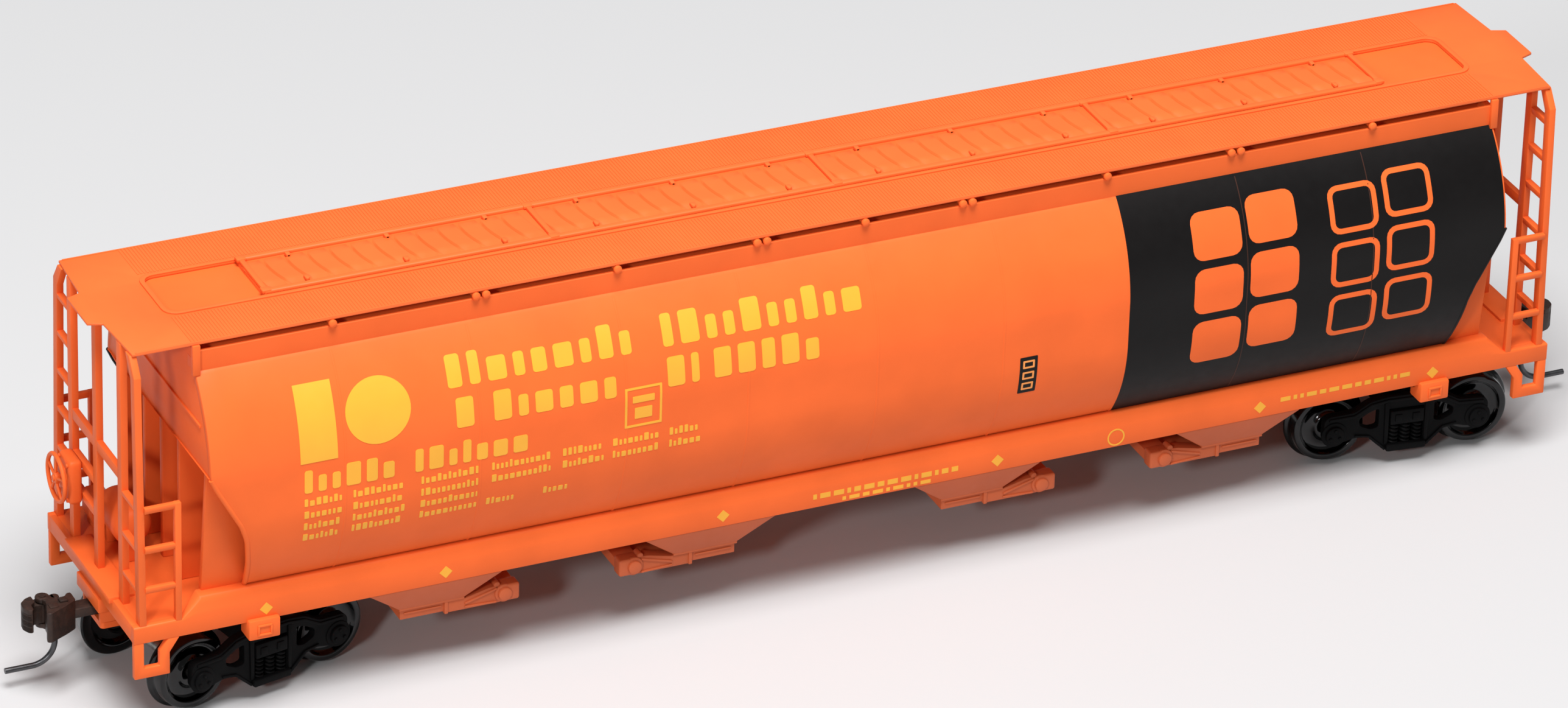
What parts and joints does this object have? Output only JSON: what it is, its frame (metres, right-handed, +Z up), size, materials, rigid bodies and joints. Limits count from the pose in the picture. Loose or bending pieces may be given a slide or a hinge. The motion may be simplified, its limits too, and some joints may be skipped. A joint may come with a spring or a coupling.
{
  "type": "model railway hopper car",
  "caption": "HO-scale covered grain hopper car with rounded body, roof walk and trough hatch, swivelling trucks with rolling wheelsets, and knuckle couplers with trip wires.",
  "frame": {"origin": "midway along the car on its centre plane, at the height of the lowest point of the wheel flanges", "axes": "+X along the car towards the end without the brake wheel, +Y to the car's left seen from above looking along +X, +Z up"},
  "size_m": [0.214, 0.0358, 0.0525],
  "materials": {
    "body_orange": "satin moulded plastic, semi-gloss",
    "truck_black": "matte moulded engineering plastic",
    "wheel_metal": "chemically blackened turned metal, polished rim",
    "axle_metal": "turned steel, lightly oxidised",
    "bush_plastic": "moulded insulating plastic",
    "coupler_brown": "dark brown chemically aged cast metal",
    "wire_steel": "dark steel wire",
    "spring_bronze": "rolled phosphor bronze strip",
    "screw_steel": "zinc-plated steel",
    "ballast_steel": "cut steel bar, mill finish"
  },
  "bodies": {
    "car": {"air_reservoir": "body_orange", "ballast_screws": "screw_steel", "ballast_weight": "ballast_steel", "body_shell": "body_orange", "brake_cylinder": "body_orange", "brake_housing": "body_orange", "centering_spring_a": "spring_bronze", "centering_spring_b": "spring_bronze", "control_valve": "body_orange", "coupler_box_cover_a": "coupler_brown", "coupler_box_cover_b": "coupler_brown", "cover_screw_a": "screw_steel", "cover_screw_b": "screw_steel", "end_frame_a": "body_orange", "end_frame_b": "body_orange", "hopper_pocket_1": "body_orange", "hopper_pocket_2": "body_orange", "hopper_pocket_3": "body_orange", "hopper_pocket_4": "body_orange", "kingpin_screw_a": "screw_steel", "kingpin_screw_b": "screw_steel", "outlet_gate_1": "body_orange", "outlet_gate_2": "body_orange", "outlet_gate_3": "body_orange", "outlet_gate_4": "body_orange", "running_board": "body_orange", "running_board_pins": "body_orange", "side_ladders": "body_orange", "trough_hatch": "body_orange", "underframe": "body_orange"},
    "truck_a": {"truck_frame_a": "truck_black"},
    "coupler_a": {"coupler_a": "coupler_brown", "knuckle_pin_a": "coupler_brown"},
    "knuckle_a": {"knuckle_a": "coupler_brown", "trip_wire_a": "wire_steel"},
    "truck_b": {"truck_frame_b": "truck_black"},
    "coupler_b": {"coupler_b": "coupler_brown", "knuckle_pin_b": "coupler_brown"},
    "knuckle_b": {"knuckle_b": "coupler_brown", "trip_wire_b": "wire_steel"},
    "wheelset_1": {"axle_1": "axle_metal", "insulating_bush_1": "bush_plastic", "wheel_1_left": "wheel_metal", "wheel_1_right": "wheel_metal"},
    "wheelset_2": {"axle_2": "axle_metal", "insulating_bush_2": "bush_plastic", "wheel_2_left": "wheel_metal", "wheel_2_right": "wheel_metal"},
    "wheelset_3": {"axle_3": "axle_metal", "insulating_bush_3": "bush_plastic", "wheel_3_left": "wheel_metal", "wheel_3_right": "wheel_metal"},
    "wheelset_4": {"axle_4": "axle_metal", "insulating_bush_4": "bush_plastic", "wheel_4_left": "wheel_metal", "wheel_4_right": "wheel_metal"},
    "brake_wheel": {"brake_wheel": "body_orange", "brake_shaft": "body_orange"}
  },
  "joints": [
    {"name": "truck_b_swivel", "type": "hinge", "parent": "car", "child": "truck_b", "pos_m": [-0.0799, 0, 0.011], "axis": [0, 0, 1], "range_deg": [-26.2, 1.8]},
    {"name": "truck_a_swivel", "type": "hinge", "parent": "car", "child": "truck_a", "pos_m": [0.0799, 0, 0.011], "axis": [0, 0, 1], "range_deg": [-7.3, 20.7]},
    {"name": "wheelset_1_roll", "type": "hinge", "parent": "truck_b", "child": "wheelset_1", "pos_m": [-0.08953, -0.00208, 0.00544], "axis": [-0.2113, 0.9774, 0], "continuous": true},
    {"name": "wheelset_2_roll", "type": "hinge", "parent": "truck_b", "child": "wheelset_2", "pos_m": [-0.07027, 0.00208, 0.00544], "axis": [-0.2113, 0.9774, 0], "continuous": true},
    {"name": "wheelset_3_roll", "type": "hinge", "parent": "truck_a", "child": "wheelset_3", "pos_m": [0.07012, 0.00115, 0.00544], "axis": [0.1167, 0.9932, 0], "continuous": true},
    {"name": "wheelset_4_roll", "type": "hinge", "parent": "truck_a", "child": "wheelset_4", "pos_m": [0.08968, -0.00115, 0.00544], "axis": [0.1167, 0.9932, 0], "continuous": true},
    {"name": "coupler_b_swing", "type": "hinge", "parent": "car", "child": "coupler_b", "pos_m": [-0.09, 0, 0.0105], "axis": [0, 0, 1], "range_deg": [-8, 8], "stiffness_Nm_per_rad": 0.0008, "deforming": ["centering_spring_b"]},
    {"name": "knuckle_b_open", "type": "hinge", "parent": "coupler_b", "child": "knuckle_b", "pos_m": [-0.1023, 0.0012, 0.0105], "axis": [0, 0, 1], "range_deg": [-25, 0], "stiffness_Nm_per_rad": 0.0004},
    {"name": "coupler_a_swing", "type": "hinge", "parent": "car", "child": "coupler_a", "pos_m": [0.09, 0, 0.0105], "axis": [0, 0, 1], "range_deg": [-8, 8], "stiffness_Nm_per_rad": 0.0008, "deforming": ["centering_spring_a"]},
    {"name": "knuckle_a_open", "type": "hinge", "parent": "coupler_a", "child": "knuckle_a", "pos_m": [0.1023, -0.0012, 0.0105], "axis": [0, 0, 1], "range_deg": [-25, 0], "stiffness_Nm_per_rad": 0.0004},
    {"name": "brake_wheel_turn", "type": "hinge", "parent": "car", "child": "brake_wheel", "pos_m": [-0.0983, 0.0063, 0.0256], "axis": [-1, 0, 0], "continuous": true}
  ]
}
